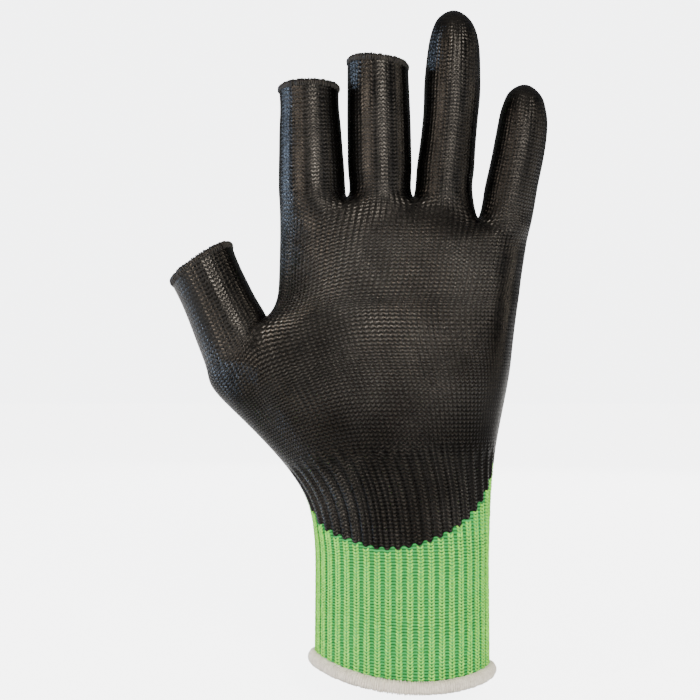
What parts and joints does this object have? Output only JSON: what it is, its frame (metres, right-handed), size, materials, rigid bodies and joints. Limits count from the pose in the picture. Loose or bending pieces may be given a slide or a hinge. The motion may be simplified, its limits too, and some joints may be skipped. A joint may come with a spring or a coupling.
{
  "type": "cut resistant glove",
  "caption": "Left-hand cut resistant work glove: knitted liner, polyurethane coated palm, rib-knit cuff and open thumb, index and middle fingertips, bending at the wrist and finger joints.",
  "frame": {"origin": "centre of the cuff's mouth, level with the foot of the hem", "axes": "+Z from the cuff to the fingertips, +Y out of the back of the hand so the palm faces -Y, +X towards the little finger"},
  "size_m": [0.139, 0.0494, 0.25],
  "materials": {
    "liner_knit": "fine jersey knit of cut resistant yarn, matte",
    "cuff_knit": "rib knit, light wales and dark green furrows, matte",
    "coat": "dipped polyurethane, the knit showing through, semi-gloss",
    "hem_thread": "overlocked polyester thread, matte",
    "tip_thread": "overlocked thread, black, matte",
    "elastic": "covered elastic yarn"
  },
  "bodies": {
    "cuff": {"cuff_liner": "cuff_knit", "cuff_coat": "coat", "cuff_elastic": "elastic", "cuff_hem": "hem_thread"},
    "palm": {"palm_liner": "liner_knit", "palm_coat": "coat", "wrist_front_crease_liner": "liner_knit", "wrist_front_crease_coat": "coat", "wrist_back_crease_liner": "liner_knit", "thumb_root_crease_liner": "liner_knit", "thumb_root_crease_coat": "coat", "index_root_crease_liner": "liner_knit", "index_root_crease_coat": "coat", "middle_root_crease_liner": "liner_knit", "middle_root_crease_coat": "coat", "ring_root_crease_liner": "liner_knit", "ring_root_crease_coat": "coat", "little_root_crease_liner": "liner_knit", "little_root_crease_coat": "coat"},
    "thumb_stall": {"thumb_stall_liner": "liner_knit", "thumb_stall_coat": "coat", "thumb_hem": "tip_thread"},
    "index_lower": {"index_lower_liner": "liner_knit", "index_lower_coat": "coat", "index_knuckle_crease_liner": "liner_knit", "index_knuckle_crease_coat": "coat"},
    "index_upper": {"index_upper_liner": "liner_knit", "index_upper_coat": "coat", "index_hem": "tip_thread"},
    "middle_lower": {"middle_lower_liner": "liner_knit", "middle_lower_coat": "coat", "middle_knuckle_crease_liner": "liner_knit", "middle_knuckle_crease_coat": "coat"},
    "middle_upper": {"middle_upper_liner": "liner_knit", "middle_upper_coat": "coat", "middle_hem": "tip_thread"},
    "ring_lower": {"ring_lower_liner": "liner_knit", "ring_lower_coat": "coat", "ring_knuckle_crease_liner": "liner_knit", "ring_knuckle_crease_coat": "coat"},
    "ring_upper": {"ring_upper_liner": "liner_knit", "ring_upper_coat": "coat", "ring_tip_crease_liner": "liner_knit", "ring_tip_crease_coat": "coat"},
    "ring_tip": {"ring_tip_liner": "liner_knit", "ring_tip_coat": "coat"},
    "little_lower": {"little_lower_liner": "liner_knit", "little_lower_coat": "coat", "little_knuckle_crease_liner": "liner_knit", "little_knuckle_crease_coat": "coat"},
    "little_upper": {"little_upper_liner": "liner_knit", "little_upper_coat": "coat", "little_tip_crease_liner": "liner_knit", "little_tip_crease_coat": "coat"},
    "little_tip": {"little_tip_liner": "liner_knit", "little_tip_coat": "coat"}
  },
  "joints": [
    {"name": "wrist_bend", "type": "hinge", "parent": "cuff", "child": "palm", "pos_m": [0, 0, 0.068], "axis": [1, 0, 0], "range_deg": [-40, 40], "deforming": ["wrist_front_crease_liner", "wrist_front_crease_coat", "wrist_back_crease_liner"]},
    {"name": "thumb_root_bend", "type": "hinge", "parent": "palm", "child": "thumb_stall", "pos_m": [-0.06118, -0.01275, 0.13873], "axis": [0.6766, 0.6412, 0.362], "range_deg": [0, 50], "deforming": ["thumb_root_crease_liner", "thumb_root_crease_coat"]},
    {"name": "index_root_bend", "type": "hinge", "parent": "palm", "child": "index_lower", "pos_m": [-0.03327, -0.00453, 0.1883], "axis": [0.9996, 0, 0.0297], "range_deg": [0, 75], "deforming": ["index_root_crease_liner", "index_root_crease_coat"]},
    {"name": "index_knuckle_bend", "type": "hinge", "parent": "index_lower", "child": "index_upper", "pos_m": [-0.03389, -0.006, 0.20923], "axis": [0.9996, 0, 0.0297], "range_deg": [0, 84], "deforming": ["index_knuckle_crease_liner", "index_knuckle_crease_coat"]},
    {"name": "middle_root_bend", "type": "hinge", "parent": "palm", "child": "middle_lower", "pos_m": [-0.00814, -0.0048, 0.18948], "axis": [0.9998, 0, 0.0209], "range_deg": [0, 75], "deforming": ["middle_root_crease_liner", "middle_root_crease_coat"]},
    {"name": "middle_knuckle_bend", "type": "hinge", "parent": "middle_lower", "child": "middle_upper", "pos_m": [-0.00858, -0.00626, 0.21022], "axis": [0.9998, 0, 0.0209], "range_deg": [0, 84], "deforming": ["middle_knuckle_crease_liner", "middle_knuckle_crease_coat"]},
    {"name": "ring_root_bend", "type": "hinge", "parent": "palm", "child": "ring_lower", "pos_m": [0.0156, -0.00425, 0.1883], "axis": [0.9976, 0, -0.0698], "range_deg": [0, 75], "deforming": ["ring_root_crease_liner", "ring_root_crease_coat"]},
    {"name": "ring_knuckle_bend", "type": "hinge", "parent": "ring_lower", "child": "ring_upper", "pos_m": [0.01706, -0.00571, 0.2092], "axis": [0.9976, 0, -0.0698], "range_deg": [0, 84], "deforming": ["ring_knuckle_crease_liner", "ring_knuckle_crease_coat"]},
    {"name": "ring_tip_bend", "type": "hinge", "parent": "ring_upper", "child": "ring_tip", "pos_m": [0.01845, -0.00711, 0.2291], "axis": [0.9976, 0, -0.0698], "range_deg": [0, 28], "deforming": ["ring_tip_crease_liner", "ring_tip_crease_coat"]},
    {"name": "little_root_bend", "type": "hinge", "parent": "palm", "child": "little_lower", "pos_m": [0.03916, -0.00393, 0.17997], "axis": [0.9866, 0, -0.1633], "range_deg": [0, 75], "deforming": ["little_root_crease_liner", "little_root_crease_coat"]},
    {"name": "little_knuckle_bend", "type": "hinge", "parent": "little_lower", "child": "little_upper", "pos_m": [0.0416, -0.00497, 0.19473], "axis": [0.9866, 0, -0.1633], "range_deg": [0, 84], "deforming": ["little_knuckle_crease_liner", "little_knuckle_crease_coat"]},
    {"name": "little_tip_bend", "type": "hinge", "parent": "little_upper", "child": "little_tip", "pos_m": [0.0438, -0.00592, 0.20802], "axis": [0.9866, 0, -0.1633], "range_deg": [0, 28], "deforming": ["little_tip_crease_liner", "little_tip_crease_coat"]}
  ],
  "couplings": [
    {"joint": "ring_tip_bend", "follows": "ring_knuckle_bend", "ratio": 0.33333},
    {"joint": "little_tip_bend", "follows": "little_knuckle_bend", "ratio": 0.33333}
  ]
}
